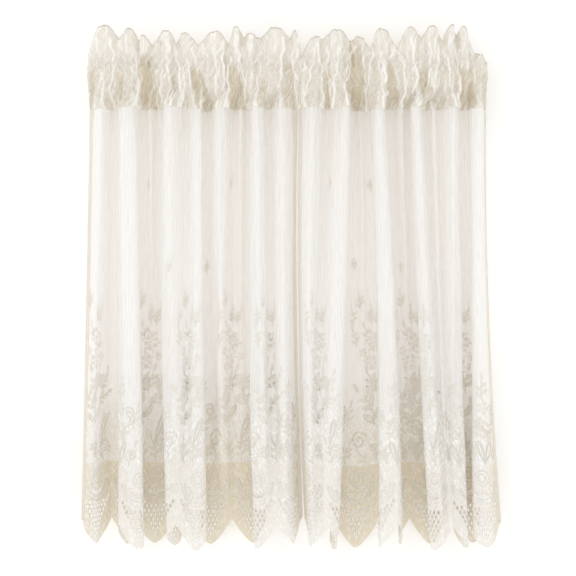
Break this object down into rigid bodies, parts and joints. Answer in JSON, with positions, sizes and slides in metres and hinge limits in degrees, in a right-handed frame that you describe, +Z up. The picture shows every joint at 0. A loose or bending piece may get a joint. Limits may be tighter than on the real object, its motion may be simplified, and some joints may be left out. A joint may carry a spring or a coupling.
{
  "type": "lace curtain",
  "caption": "Gathered sheer lace tier curtains hanging side by side, with ruffled rod-pocket headings, woven flower sprays and scalloped eyelet hems.",
  "frame": {"origin": "a point on the line of the hidden rod, in the middle of the pair and of the rod pockets' height and depth", "axes": "+X to the right seen from the room, +Y away from the room, +Z up"},
  "size_m": [0.7343, 0.0658, 0.9225],
  "materials": {
    "lace": "sheer ivory net with woven flowers",
    "heading": "doubled and gathered ivory net, deeper cream"
  },
  "bodies": {
    "root": {"left_heading": "heading", "left_lace": "lace", "right_heading": "heading", "right_lace": "lace"}
  },
  "joints": []
}
